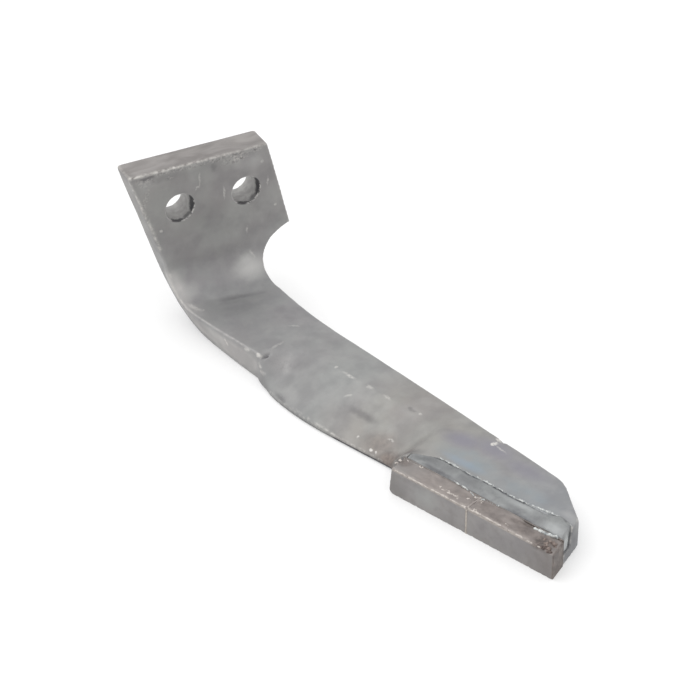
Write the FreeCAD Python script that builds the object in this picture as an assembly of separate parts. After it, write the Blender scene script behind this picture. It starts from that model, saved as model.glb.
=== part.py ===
import FreeCAD, Part
import math
import os

# Carbide-tipped harrow tine. All sizes are in millimetres.
# The origin is midway between the two bolt holes, on the face that the holder clamps.
# X runs from hole to hole, Y points into the holder, and Z is up when the blade lies flat.

# Forged bar
THICKNESS = 17.0
BEND_RADIUS = 20.0
EDGE_BREAK = 0.8

# Head plate, measured from the middle of the two holes
HOLE_SPACING = 40.0
HOLE_DIAMETER = 17.0
HOLES_TO_TOP = 26.3
HOLES_TO_UNDERSIDE = 72.2
TOP_LEFT = 49.6
TOP_RIGHT = 33.7
EAR_RIGHT = 46.9
EAR_DROP = 28.1
EAR_CURVE_SAG = 0.7
TOP_CORNER_RADIUS = 1.5

# Bend, where the bar is narrowest; its inner left side bulges and fades out along the root
BEND_START_LEFT = 30.0
BEND_START_RIGHT = 35.1
NECK_RIGHT = 28.0
BEND_END_LEFT = 18.1
BEND_END_RIGHT = 30.3
BEND_TAPER = 1.5
BULGE = 7.2
BULGE_PEAK = 28.0
BEND_STEPS = 12

# Root and sides in plan: reach is the distance forward of the head's inner face
ROOT_END_LEFT = 9.8
ROOT_END_REACH = 72.5
ROOT_TAPER = 1.3
ROOT_STEPS = 5
SIDE_START_ANGLE = 3.6
SIDE_CURVE_LENGTH = 55.0
SIDE_ANGLE = 12.95
SIDE_SAG = 0.8
SIDE_STATIONS = 8

# Tip
TIP_REACH = 278.6
SHOULDER_TO_TIP = 30.4
SHOULDER_RADIUS = 21.0
TIP_INSET = 10.0
END_CUT_ANGLE = 35.1
END_CUT_LENGTH = 30.4

# Drawn-out cutting edge and the hollow forged above it
EDGE_THICKNESS = 3.0
EDGE_BELLY_LEFT = 11.0
EDGE_BELLY_RUN = 13.5
EDGE_START_LEFT = 9.0
EDGE_START_RUN = 33.5
EDGE_END_RUN = 12.7
EDGE_END_INSET = 15.0
EDGE_BOW = 1.5
HOLLOW_SETBACK = 1.1
HOLLOW_START_RUN = 13.0
HOLLOW_START_RIGHT = 13.0
RIDGE_GAP_AT_START = 25.0
RIDGE_GAP_AT_END = 18.5
HOLLOW_END_WIDTH = 8.7
HOLLOW_STATIONS = 5

# Carbide tiles, end to end along the front
INNER_TILE_LENGTH = 51.1
OUTER_TILE_LENGTH = 55.5
TILE_DEPTH = 11.5
TILE_HEIGHT = 16.4
TILE_CHAMFER = 1.5
TILE_SEAM = 1.2
TILE_LINE_ANGLE = 20.5
TILE_END_LEAN = 1.8
TILE_CORNER_RADIUS = 3.5
CHIP_LENGTH = 11.0
CHIP_DEPTH = 1.3

# Braze and weld
BRAZE = 0.5
BRAZE_LINE_SINK = 0.45
GROOVE_WIDTH = 10.0
GROOVE_FLOOR_WIDTH = 7.5
GROOVE_FLOOR = 6.0
GROOVE_START = 1.5
GROOVE_START_SHARE = 0.4
GROOVE_WIDENING = 13.0
BEAD_CROWN = 1.3
BEAD_TOE = 0.4
BEAD_LAP = 0.1
BEAD_SETBACK = 1.2
BEAD_END_LENGTH = 16.0
BEAD_END_PEAK = 8.0
BEAD_END_TOE = 4.0
BEAD_END_RISE = 1.8

UNDERSIDE = -HOLES_TO_UNDERSIDE
TOP_FACE = UNDERSIDE + THICKNESS
INNER_FACE = -THICKNESS
BEND_Y = INNER_FACE - BEND_RADIUS
BEND_Z = TOP_FACE + BEND_RADIUS
BEND_ARC = BEND_RADIUS * math.pi / 2
BEND_END_REACH = BEND_RADIUS
SHOULDER_REACH = TIP_REACH - SHOULDER_TO_TIP
SEAT = TILE_DEPTH + BRAZE
CLEAR = 3.0
NEAR = 0.01


def vec(x, y, z):
    return FreeCAD.Vector(x, y, z)


def plan(x, reach, z=UNDERSIDE):
    return vec(x, INNER_FACE - reach, z)


def polygon(points):
    return Part.makePolygon(points + points[:1])


def prism(wire, direction):
    return Part.Face(wire).extrude(direction)


def slope(angle):
    return math.tan(math.radians(angle))


def strip_section(left_in, left_out, right, place):
    """Section of the bar with broken edges. place(x, depth) puts a point that far from the inner side."""
    b = EDGE_BREAK
    lean = (left_out - left_in) / THICKNESS
    corners = [
        (left_in + b, 0),
        (right - b, 0),
        (right, b),
        (right, THICKNESS - b),
        (right - b, THICKNESS),
        (left_out + b, THICKNESS),
        (left_out - lean * b, THICKNESS - b),
        (left_in + lean * b, b),
    ]
    return polygon([place(x, depth) for x, depth in corners])


def bulge(arc):
    """How far the inner side stands out at this arc length from the start of the bend."""
    if arc < BULGE_PEAK:
        return BULGE * math.sin(math.pi / 2 * arc / BULGE_PEAK)
    whole = BEND_ARC + ROOT_END_REACH - BEND_END_REACH
    return BULGE * (whole - arc) / (whole - BULGE_PEAK)


def bend():
    sections = []
    for step in range(BEND_STEPS + 1):
        part = step / BEND_STEPS
        angle = part * math.pi / 2
        left = -BEND_END_LEFT - (BEND_START_LEFT - BEND_END_LEFT) * (1 - part) ** BEND_TAPER
        outer_right = BEND_START_RIGHT if part < 0.5 else BEND_END_RIGHT
        right = NECK_RIGHT + (outer_right - NECK_RIGHT) * (2 * part - 1) ** 2

        def place(x, depth):
            radius = BEND_RADIUS + depth
            return vec(x, BEND_Y + radius * math.cos(angle), BEND_Z - radius * math.sin(angle))

        sections.append(strip_section(left - bulge(BEND_RADIUS * angle), left, right, place))
    return Part.makeLoft(sections, True, False)


def side_right(reach):
    """Right side: it leaves the bend almost straight, curves outwards, then runs in one shallow arc."""
    start, end = slope(SIDE_START_ANGLE), slope(SIDE_ANGLE)
    run = min(reach - BEND_END_REACH, SIDE_CURVE_LENGTH)
    past = reach - BEND_END_REACH - run
    share = past / (SHOULDER_REACH - BEND_END_REACH - SIDE_CURVE_LENGTH)
    curve = start * run + (end - start) * run ** 2 / (2 * SIDE_CURVE_LENGTH)
    return BEND_END_RIGHT + curve + end * past + 4 * SIDE_SAG * share * (1 - share)


def side_left(reach):
    """Left side of the root at the underside."""
    part = (reach - BEND_END_REACH) / (ROOT_END_REACH - BEND_END_REACH)
    return -BEND_END_LEFT + (BEND_END_LEFT - ROOT_END_LEFT) * part ** ROOT_TAPER


def root():
    sections = []
    for step in range(ROOT_STEPS + 1):
        reach = BEND_END_REACH + (ROOT_END_REACH - BEND_END_REACH) * step / ROOT_STEPS
        left = side_left(reach)

        def place(x, depth):
            return plan(x, reach, TOP_FACE - depth)

        stand_out = bulge(BEND_ARC + reach - BEND_END_REACH)
        sections.append(strip_section(left - stand_out, left, side_right(reach), place))
    return Part.makeLoft(sections, True, False)


def long_edges(solid, skip):
    """Edges along the inner and outer faces, apart from those that skip names."""
    found = []
    for edge in solid.Edges:
        ends = [v.Point for v in edge.Vertexes]
        mid = edge.valueAt((edge.FirstParameter + edge.LastParameter) / 2)
        if not skip(ends + [mid]):
            found.append(edge)
    return found


def head():
    top = HOLES_TO_TOP
    bottom = BEND_Z
    top_left = vec(-TOP_LEFT, 0, top)
    top_right = vec(TOP_RIGHT, 0, top)
    ear = vec(EAR_RIGHT, 0, -EAR_DROP)
    neck = vec(BEND_START_RIGHT, 0, bottom)
    start = vec(-BEND_START_LEFT, 0, bottom)
    across = (neck - ear).normalize()
    sag = vec(across.z, 0, -across.x).multiply(EAR_CURVE_SAG)
    curve_mid = (ear + neck).multiply(0.5) + sag
    edges = [
        Part.makeLine(top_left, top_right),
        Part.makeLine(top_right, ear),
        Part.Arc(ear, curve_mid, neck).toShape(),
        Part.makeLine(neck, start),
        Part.makeLine(start, top_left),
    ]
    plate = prism(Part.Wire(edges), vec(0, INNER_FACE, 0))
    corners = [
        e for e in plate.Edges
        if all(abs(v.Z - top) < NEAR for v in e.Vertexes) and abs(e.tangentAt(e.FirstParameter).y) > NEAR
    ]
    plate = plate.makeFillet(TOP_CORNER_RADIUS, corners)

    def skip(points):
        flat = max(p.y for p in points) - min(p.y for p in points) < NEAR
        at_bend = all(abs(p.z - bottom) < NEAR for p in points)
        return not flat or at_bend

    plate = plate.makeChamfer(EDGE_BREAK, long_edges(plate, skip))
    for side in (-1, 1):
        centre = vec(side * HOLE_SPACING / 2, INNER_FACE - CLEAR, 0)
        hole = Part.makeCylinder(HOLE_DIAMETER / 2, THICKNESS + 2 * CLEAR, centre, vec(0, 1, 0))
        plate = plate.cut(hole)
    return plate


END_ANGLE = math.radians(END_CUT_ANGLE)
END_DIRECTION = vec(math.cos(END_ANGLE), math.sin(END_ANGLE), 0)
TIP = plan(side_right(SHOULDER_REACH) - TIP_INSET, TIP_REACH)
LINE_ANGLE = math.radians(TILE_LINE_ANGLE)
ALONG = vec(math.sin(LINE_ANGLE), -math.cos(LINE_ANGLE), 0)
INWARD = vec(-ALONG.y, ALONG.x, 0)
UPWARD = vec(0, 0, 1)
ROW_LENGTH = INNER_TILE_LENGTH + TILE_SEAM + OUTER_TILE_LENGTH
ROW_START = TIP - END_DIRECTION * END_CUT_LENGTH - ALONG * ROW_LENGTH


def at_tiles(along, inward, height):
    """A point by its distance along the tiles' front, inward from it and up from the underside."""
    return ROW_START + ALONG * along + INWARD * inward + UPWARD * height


def end_along(inward):
    """Distance along the tiles at which the oblique end lies, this far inward of their front."""
    return ROW_LENGTH + inward * ALONG.dot(END_DIRECTION) / INWARD.dot(END_DIRECTION)


SEAT_START = at_tiles(-BRAZE, SEAT, 0)
SEAT_END = at_tiles(end_along(SEAT), SEAT, 0)
EDGE_END = at_tiles(-EDGE_END_RUN, EDGE_END_INSET, 0)
EDGE_START = plan(-EDGE_START_LEFT, ROOT_END_REACH + EDGE_START_RUN)
EDGE_MIDDLE = (EDGE_START + EDGE_END) * 0.5 + (EDGE_END - EDGE_START).normalize().cross(UPWARD) * EDGE_BOW
EDGE_BELLY = plan(-EDGE_BELLY_LEFT, ROOT_END_REACH + EDGE_BELLY_RUN)
ROOT_LEFT = plan(-ROOT_END_LEFT, ROOT_END_REACH)


def smooth(points):
    curve = Part.BSplineCurve()
    curve.interpolate(points)
    return curve


CUTTING_EDGE = smooth([ROOT_LEFT, EDGE_BELLY, EDGE_START, EDGE_MIDDLE, EDGE_END])


def blade():
    right_side = []
    for step in range(SIDE_STATIONS + 1):
        reach = ROOT_END_REACH + (SHOULDER_REACH - ROOT_END_REACH) * step / SIDE_STATIONS
        right_side.append(plan(side_right(reach), reach))
    shoulder = right_side[-1]
    outline = Part.Wire([
        smooth(right_side).toShape(),
        Part.makeLine(shoulder, TIP),
        Part.makeLine(TIP, SEAT_END),
        Part.makeLine(SEAT_END, SEAT_START),
        Part.makeLine(SEAT_START, EDGE_END),
        CUTTING_EDGE.toShape(),
        Part.makeLine(ROOT_LEFT, right_side[0]),
    ])
    plate = prism(outline, vec(0, 0, THICKNESS))
    corner = [
        e for e in plate.Edges
        if all((v.Point - shoulder).cross(UPWARD).Length < NEAR for v in e.Vertexes)
    ]
    plate = plate.makeFillet(SHOULDER_RADIUS, corner)

    def skip(points):
        flat = max(p.z for p in points) - min(p.z for p in points) < NEAR
        at_root = all(abs(p.y - ROOT_LEFT.y) < NEAR for p in points)
        at_seat = all(abs((p - SEAT_START).dot(INWARD)) < NEAR for p in points)
        return not flat or at_root or at_seat

    return plate.makeChamfer(EDGE_BREAK, long_edges(plate, skip))


def edge_x(reach):
    """Where the cutting edge lies at this reach."""
    across = Part.makeLine(plan(-TOP_LEFT, reach), plan(side_right(reach), reach))
    return CUTTING_EDGE.toShape().distToShape(across)[1][0][0].x


def hollow_section(reach, left, low, right):
    """Section of what the forging die pressed away, from beyond the low edge up to the ridge."""
    rise = (THICKNESS - low) / (right - left)
    beyond = 2 * CLEAR
    points = [
        (left - beyond, low - beyond * rise),
        (right, THICKNESS),
        (right, THICKNESS + CLEAR),
        (left - beyond, THICKNESS + CLEAR),
    ]
    return polygon([plan(x, reach, UNDERSIDE + height) for x, height in points])


def hollow():
    """The hollow above the cutting edge, with a sloped wall at each end."""
    start_reach = ROOT_END_REACH + HOLLOW_SETBACK
    end_reach = INNER_FACE - SEAT_START.y
    first = start_reach + HOLLOW_START_RUN
    last = INNER_FACE - EDGE_END.y
    sections = []
    for step in range(HOLLOW_STATIONS):
        part = step / (HOLLOW_STATIONS - 1)
        reach = first + (last - first) * part
        gap = RIDGE_GAP_AT_START + (RIDGE_GAP_AT_END - RIDGE_GAP_AT_START) * part
        ridge = side_right(reach) - gap
        sections.append(hollow_section(reach, edge_x(reach), EDGE_THICKNESS, ridge))
    start = hollow_section(start_reach, edge_x(first), THICKNESS, HOLLOW_START_RIGHT)
    end = hollow_section(end_reach, edge_x(last), THICKNESS, SEAT_START.x + HOLLOW_END_WIDTH)
    middle = Part.makeLoft(sections, True, False)
    start_wall = Part.makeLoft([start, sections[0]], True, True)
    end_wall = Part.makeLoft([sections[-1], end], True, True)
    return middle.fuse([start_wall, end_wall])


def tile_section(points, along):
    """A closed wire across the tiles, from inward distances and heights."""
    return polygon([at_tiles(along, inward, height) for inward, height in points])


def tile_prism(points, start, length):
    return prism(tile_section(points, start), ALONG * length)


def side_cut(points):
    """A solid across the tiles' whole depth from its side view, as distances along them and heights."""
    wire = polygon([at_tiles(along, -CLEAR, height) for along, height in points])
    return prism(wire, INWARD * (TILE_DEPTH + 2 * CLEAR))


def groove_corners(share):
    """Floor height, floor width and mouth width of the weld groove at this share of its full section."""
    floor = THICKNESS - (THICKNESS - GROOVE_FLOOR) * share
    return floor, GROOVE_FLOOR_WIDTH * share, GROOVE_WIDTH * share


def groove():
    """The weld groove behind the tiles, which widens from its start and runs out at the oblique end."""
    lean = (GROOVE_WIDTH - GROOVE_FLOOR_WIDTH) / (THICKNESS - GROOVE_FLOOR)
    stations = [
        (GROOVE_START, GROOVE_START_SHARE),
        (GROOVE_START + GROOVE_WIDENING, 1),
        (end_along(0) + CLEAR, 1),
    ]
    sections = []
    for along, share in stations:
        floor, floor_width, width = groove_corners(share)
        sections.append(tile_section([
            (SEAT - CLEAR, floor),
            (SEAT + floor_width, floor),
            (SEAT + width + CLEAR * lean, THICKNESS + CLEAR),
            (SEAT - CLEAR, THICKNESS + CLEAR),
        ], along))
    return Part.makeLoft(sections, True, True)


def trim_end(solid, setback=0.0):
    """Cut off what reaches past the oblique end, or past a line this far behind it."""
    forward = vec(END_DIRECTION.y, -END_DIRECTION.x, 0)
    corner = TIP - forward * setback - UPWARD * THICKNESS
    reach = END_DIRECTION * ROW_LENGTH
    away = forward * ROW_LENGTH
    outline = [corner + reach, corner - reach, corner - reach + away, corner + reach + away]
    return solid.cut(prism(polygon(outline), UPWARD * 4 * THICKNESS))


def tile_blank(start, length):
    points = [
        (0, 0),
        (TILE_DEPTH, 0),
        (TILE_DEPTH, TILE_HEIGHT),
        (TILE_CHAMFER, TILE_HEIGHT),
        (0, TILE_HEIGHT - TILE_CHAMFER),
    ]
    return tile_prism(points, start, length)


def inner_tile():
    """The tile nearer the head: its end leans back towards the top and its lower front corner is round."""
    tile = tile_blank(0, INNER_TILE_LENGTH)
    corner = [
        e for e in tile.Edges
        if all(abs((v.Point - ROW_START).dot(ALONG)) < NEAR for v in e.Vertexes)
        and all(abs(v.Z - UNDERSIDE) < NEAR for v in e.Vertexes)
    ]
    tile = tile.makeFillet(TILE_CORNER_RADIUS, corner)
    over = TILE_HEIGHT + CLEAR
    wedge = [(-CLEAR, 0), (0, 0), (TILE_END_LEAN, TILE_HEIGHT), (TILE_END_LEAN, over), (-CLEAR, over)]
    return tile.cut(side_cut(wedge))


def outer_tile():
    """The tile at the tip, cut to the blade's oblique end and chipped along its top there."""
    start = INNER_TILE_LENGTH + TILE_SEAM
    tile = trim_end(tile_blank(start, OUTER_TILE_LENGTH + CLEAR))
    chip = [
        (ROW_LENGTH - CHIP_LENGTH, TILE_HEIGHT),
        (ROW_LENGTH + CHIP_LENGTH, TILE_HEIGHT - 2 * CHIP_DEPTH),
        (ROW_LENGTH + CHIP_LENGTH, TILE_HEIGHT + CHIP_DEPTH),
    ]
    return tile.cut(side_cut(chip))


def braze():
    """Brass behind and between the tiles, and the line that it left along their front edge."""
    back = trim_end(tile_prism(
        [(TILE_DEPTH, 0), (SEAT, 0), (SEAT, TILE_HEIGHT), (TILE_DEPTH, TILE_HEIGHT)],
        0, ROW_LENGTH))
    seam = tile_prism(
        [(0, 0), (TILE_DEPTH, 0), (TILE_DEPTH, TILE_HEIGHT), (0, TILE_HEIGHT)],
        INNER_TILE_LENGTH, TILE_SEAM)
    line = tile_prism([
        (0, TILE_HEIGHT - TILE_CHAMFER),
        (TILE_CHAMFER, TILE_HEIGHT),
        (BRAZE_LINE_SINK, TILE_HEIGHT - BRAZE_LINE_SINK),
    ], TILE_END_LEAN, ROW_LENGTH - CHIP_LENGTH - TILE_END_LEAN)
    return back.fuse([seam, line]).removeSplitter()


def bead_section(along, share, toe, rise):
    """Weld metal in the groove, lapping the braze and the blade, with a crown between them."""
    floor, floor_width, width = groove_corners(share)
    foot = at_tiles(along, SEAT, floor)
    front = at_tiles(along, SEAT, TILE_HEIGHT)
    lap = at_tiles(along, SEAT - BEAD_LAP, TILE_HEIGHT)
    crown = at_tiles(along, SEAT + (width + toe) / 2, (TILE_HEIGHT + THICKNESS) / 2 + rise)
    top = at_tiles(along, SEAT + width + toe, THICKNESS)
    mouth = at_tiles(along, SEAT + width, THICKNESS)
    corner = at_tiles(along, SEAT + floor_width, floor)
    return Part.Wire([
        Part.makeLine(foot, front),
        Part.makeLine(front, lap),
        Part.Arc(lap, crown, top).toShape(),
        Part.makeLine(top, mouth),
        Part.makeLine(mouth, corner),
        Part.makeLine(corner, foot),
    ])


def weld_bead():
    end = end_along(SEAT + GROOVE_WIDTH) - BEAD_SETBACK
    stations = [
        (GROOVE_START, GROOVE_START_SHARE, BEAD_TOE, BEAD_CROWN * GROOVE_START_SHARE),
        (GROOVE_START + GROOVE_WIDENING, 1, BEAD_TOE, BEAD_CROWN),
        (end - BEAD_END_LENGTH, 1, BEAD_TOE, BEAD_CROWN),
        (end - BEAD_END_PEAK, 1, BEAD_END_TOE, BEAD_CROWN + BEAD_END_RISE),
        (end_along(SEAT), 1, BEAD_TOE, BEAD_CROWN),
    ]
    bead = Part.makeLoft([bead_section(*station) for station in stations], True, True)
    return trim_end(bead, BEAD_SETBACK)


def forged_tine():
    body = head().fuse([bend(), root(), blade()]).removeSplitter()
    return body.cut(hollow()).cut(groove())


os.makedirs("parts", exist_ok=True)
forged_tine().exportStep("parts/forged_tine.step")
inner_tile().exportStep("parts/carbide_tile_inner.step")
outer_tile().exportStep("parts/carbide_tile_outer.step")
braze().exportStep("parts/braze.step")
weld_bead().exportStep("parts/weld_bead.step")
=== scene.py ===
import math
import random
import bpy
import numpy as np
from mathutils import Euler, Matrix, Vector


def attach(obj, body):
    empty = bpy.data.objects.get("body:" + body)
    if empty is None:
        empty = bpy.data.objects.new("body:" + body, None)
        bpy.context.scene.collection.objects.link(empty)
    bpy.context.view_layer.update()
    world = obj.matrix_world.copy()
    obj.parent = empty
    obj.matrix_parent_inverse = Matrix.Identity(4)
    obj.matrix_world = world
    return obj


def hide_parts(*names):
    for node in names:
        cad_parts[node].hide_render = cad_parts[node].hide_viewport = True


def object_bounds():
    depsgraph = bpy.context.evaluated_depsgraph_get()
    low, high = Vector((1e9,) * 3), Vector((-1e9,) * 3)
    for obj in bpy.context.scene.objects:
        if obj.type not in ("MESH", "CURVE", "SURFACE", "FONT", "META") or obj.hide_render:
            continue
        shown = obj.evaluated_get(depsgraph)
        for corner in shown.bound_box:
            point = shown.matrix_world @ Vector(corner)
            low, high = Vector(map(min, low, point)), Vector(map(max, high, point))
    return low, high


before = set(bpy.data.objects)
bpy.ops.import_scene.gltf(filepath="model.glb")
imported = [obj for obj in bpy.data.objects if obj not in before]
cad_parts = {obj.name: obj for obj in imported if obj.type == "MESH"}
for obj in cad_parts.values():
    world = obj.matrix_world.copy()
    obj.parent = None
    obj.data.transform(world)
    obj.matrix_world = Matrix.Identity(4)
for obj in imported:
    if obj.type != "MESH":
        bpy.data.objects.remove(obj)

cad_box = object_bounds()


# The camera stands 1.6 m away, to the left of the head plate and looking down on it. Its lens is long, so
# the tine's lines stay almost parallel.
camera_data = bpy.data.cameras.new("camera")
camera_data.sensor_width = 36.0
camera_data.lens = 150.03
camera = bpy.data.objects.new("camera", camera_data)
camera.location = (-0.5644, -1.2645, 0.8352)
camera.rotation_euler = (math.radians(90 - 34.384), 0.0, math.radians(-27.486))
bpy.context.scene.collection.objects.link(camera)
bpy.context.scene.camera = camera


# The floor is a sheet of pale paper under the tine. It takes the tine's soft shadow, and where nothing
# shades it the camera sees plain white.
FLOOR_WIDTH = 8
PAPER_GLOW = 0.37


def linear(code):
    """The linear colour, with alpha, of an sRGB hex value."""
    channels = [int(code[i:i + 2], 16) / 255 for i in (1, 3, 5)]
    return [c / 12.92 if c <= 0.04045 else ((c + 0.055) / 1.055) ** 2.4 for c in channels] + [1.0]


def add(tree, kind, settings, inputs):
    """Add a node with its settings. Each input is set to a value or hex colour, or linked to an output."""
    node = tree.nodes.new(kind)
    for name, value in settings.items():
        setattr(node, name, value)
    for name, value in inputs.items():
        if isinstance(value, bpy.types.NodeSocket):
            tree.links.new(value, node.inputs[name])
        else:
            node.inputs[name].default_value = linear(value) if isinstance(value, str) else value
    return node


def new_material(name):
    """A new material, its node tree and its surface shader."""
    material = bpy.data.materials.new(name)
    material.use_nodes = True
    return material, material.node_tree, material.node_tree.nodes["Principled BSDF"]


bpy.ops.object.select_all(action="DESELECT")
bpy.ops.mesh.primitive_plane_add(size=FLOOR_WIDTH, location=(0, 0, cad_box[0][2]))
floor = bpy.context.object
floor.name = "floor"

# Uncoated paper: matt pale grey, which the camera and the metal see brightened to white.
paper, tree, surface = new_material("uncoated_paper")
surface.inputs["Base Color"].default_value = linear("#d0d0d0")
surface.inputs["Roughness"].default_value = 0.9
surface.inputs["Specular IOR Level"].default_value = 0.2
surface.inputs["Emission Color"].default_value = linear("#ffffff")
path = add(tree, "ShaderNodeLightPath", {}, {})
seen = add(tree, "ShaderNodeMath", {"operation": "MAXIMUM"},
           {0: path.outputs["Is Camera Ray"], 1: path.outputs["Is Glossy Ray"]})
glow = add(tree, "ShaderNodeMath", {"operation": "MULTIPLY"}, {0: seen.outputs[0], 1: PAPER_GLOW})
tree.links.new(glow.outputs[0], surface.inputs["Emission Strength"])
floor.data.materials.append(paper)


# The light is a white tent with one large soft lamp above it, behind the tine on the left. It leaves a faint
# shadow only where the tine meets the floor.
TENT_ON_TINE, TENT_SEEN = 0.93, 1.0
LAMP_AIM = Vector((0, -0.15, 0))
bpy.context.scene.view_settings.view_transform = "Standard"
world = bpy.data.worlds.new("tent")
bpy.context.scene.world = world
world.use_nodes = True
sky = world.node_tree
backdrop = sky.nodes["Background"]
backdrop.inputs["Color"].default_value = linear("#ffffff")
path = add(sky, "ShaderNodeLightPath", {}, {})
seen = add(sky, "ShaderNodeMath", {"operation": "MAXIMUM"},
           {0: path.outputs["Is Camera Ray"], 1: path.outputs["Is Transmission Ray"]})
strength = add(sky, "ShaderNodeMapRange", {}, {
    "Value": seen.outputs[0], "To Min": TENT_ON_TINE, "To Max": TENT_SEEN})
sky.links.new(strength.outputs[0], backdrop.inputs["Strength"])
lamp_data = bpy.data.lights.new("soft_lamp", "AREA")
lamp_data.energy = 10.3
lamp_data.size = 1.8
lamp = bpy.data.objects.new("soft_lamp", lamp_data)
lamp.location = (-0.60, 0.12, 1.45)
lamp.rotation_euler = (LAMP_AIM - lamp.location).to_track_quat("-Z", "Y").to_euler()
bpy.context.scene.collection.objects.link(lamp)


# The tine itself is one piece of boron steel, sheared from flat bar, bent square in a press while hot,
# and drawn out along one side into a thin cutting edge. Forging leaves its edges round and its faces
# slightly wavy, with a few nicks. Two bolts through the head hold it.
MM = 0.001
HOLES = (-20.0, 20.0)
HOLE_RADIUS = 8.5
INNER_FACE, OUTER_FACE = -17.0, 0.0
SHEARED_END = 26.3


def work(piece, kind, settings):
    """Add a modifier with these settings and apply it."""
    bpy.ops.object.select_all(action="DESELECT")
    piece.select_set(True)
    bpy.context.view_layer.objects.active = piece
    modifier = piece.modifiers.new(kind.lower(), kind)
    for name, value in settings.items():
        setattr(modifier, name, value)
    bpy.ops.object.modifier_apply(modifier=modifier.name)


def worked_copy(node, name, voxel):
    """A copy of a CAD node with an even mesh of this voxel size in millimetres, ready to be worked on."""
    piece = bpy.data.objects.new(name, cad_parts[node].data.copy())
    bpy.context.scene.collection.objects.link(piece)
    bpy.ops.object.select_all(action="DESELECT")
    piece.select_set(True)
    bpy.context.view_layer.objects.active = piece
    piece.data.materials.clear()
    bpy.ops.object.mode_set(mode="EDIT")
    bpy.ops.mesh.select_all(action="SELECT")
    bpy.ops.mesh.remove_doubles(threshold=0.001 * MM)
    bpy.ops.mesh.normals_make_consistent(inside=False)
    bpy.ops.object.mode_set(mode="OBJECT")
    work(piece, "REMESH", {"mode": "VOXEL", "voxel_size": voxel * MM})
    work(piece, "SHRINKWRAP", {"target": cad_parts[node], "wrap_method": "NEAREST_SURFACEPOINT"})
    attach(piece, "root")
    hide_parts(node)
    return piece


def read_places(mesh):
    """Vertex places in millimetres."""
    places = np.empty(len(mesh.vertices) * 3, np.float32)
    mesh.vertices.foreach_get("co", places)
    return places.reshape(-1, 3) / MM


def near_line(places, points):
    """Each place's distance from a line through these points."""
    best = np.full(len(places), np.inf)
    points = np.array(points, float)
    for a, b in zip(points[:-1], points[1:]):
        run = b - a
        share = np.clip((places - a) @ run / max(run @ run, 1e-9), 0, 1)
        best = np.minimum(best, np.linalg.norm(places - a - share[:, None] * run, axis=1))
    return best


def strokes(piece, name, lines):
    """Weigh the vertices near each line of points: (points, radius in millimetres, weight).

    The weights fade out smoothly, and are kept as a vertex group and as an attribute for the material.
    """
    places = read_places(piece.data)
    weights = np.zeros(len(places))
    for points, radius, weight in lines:
        if len(points) == 1:
            points = points * 2
        share = np.clip(1 - near_line(places, points) / radius, 0, 1)
        weights = np.maximum(weights, weight * share * share * (3 - 2 * share))
    group = piece.vertex_groups.new(name=name)
    for index in np.nonzero(weights > 0.005)[0]:
        group.add([int(index)], float(weights[index]), "REPLACE")
    attribute = piece.data.attributes.new(name + "_paint", "FLOAT", "POINT")
    attribute.data.foreach_set("value", weights.astype(np.float32))


def free_group(piece):
    """Weigh the vertices that may be moved outwards: those away from the sides of the CAD model's box."""
    places = read_places(piece.data)
    low, high = np.array(cad_box[0]) / MM, np.array(cad_box[1]) / MM
    gap = np.minimum(places - low, high - places).min(axis=1)
    group = piece.vertex_groups.new(name="free")
    for index in np.nonzero(gap > 0.1)[0]:
        group.add([int(index)], float(min(gap[index], 1.0)), "REPLACE")


def cloud(name, size, depth=2):
    """A texture of clouds about this many millimetres wide."""
    texture = bpy.data.textures.new(name, "CLOUDS")
    texture.noise_scale = size * MM
    texture.noise_depth = depth
    return texture


def mark_edges(piece, reach):
    """Store how far each vertex stands out of its surroundings, in millimetres, as the attribute edge."""
    places = read_places(piece.data)
    normals = np.empty(len(places) * 3, np.float32)
    piece.data.vertex_normals.foreach_get("vector", normals)
    even = piece.modifiers.new("even", "SMOOTH")
    even.factor = 0.5
    even.iterations = reach
    flattened = piece.evaluated_get(bpy.context.evaluated_depsgraph_get())
    shift = places - read_places(flattened.data)
    piece.modifiers.remove(even)
    height = (shift * normals.reshape(-1, 3)).sum(1)
    attribute = piece.data.attributes.new("edge", "FLOAT", "POINT")
    attribute.data.foreach_set("value", height.astype(np.float32))


def round_shading(piece):
    """Shade all faces smooth."""
    for polygon in piece.data.polygons:
        polygon.use_smooth = True


# All places are in millimetres in the CAD frame: the blade's top is at -55.2 and its underside at -72.2.
rng = random.Random(41)
tine = worked_copy("forged_tine", "forged_tine_steel", voxel=0.85)

# The forged shoulder along the hollow and the walls at its two ends run softly into the faces.
strokes(tine, "shoulder", [
    ([(-2, -90.6, -55.2), (13, -90.6, -55.2), (16, -103.6, -55.2), (30, -149, -55.2), (44.3, -195, -55.2),
      (30, -205.5, -55.2)], 10, 1.0),
    ([(-4, -103.6, -66), (16, -103.6, -55.2)], 9, 1.0),
    ([(22, -195, -67), (44.3, -195, -55.2)], 9, 1.0),
    ([(-6, -91.5, -58), (-7, -97, -64), (-8, -102, -68)], 7, 0.8),
])
work(tine, "SMOOTH", {"factor": 0.5, "iterations": 70, "vertex_group": "shoulder"})
work(tine, "SMOOTH", {"factor": 0.5, "iterations": 1})

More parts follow.
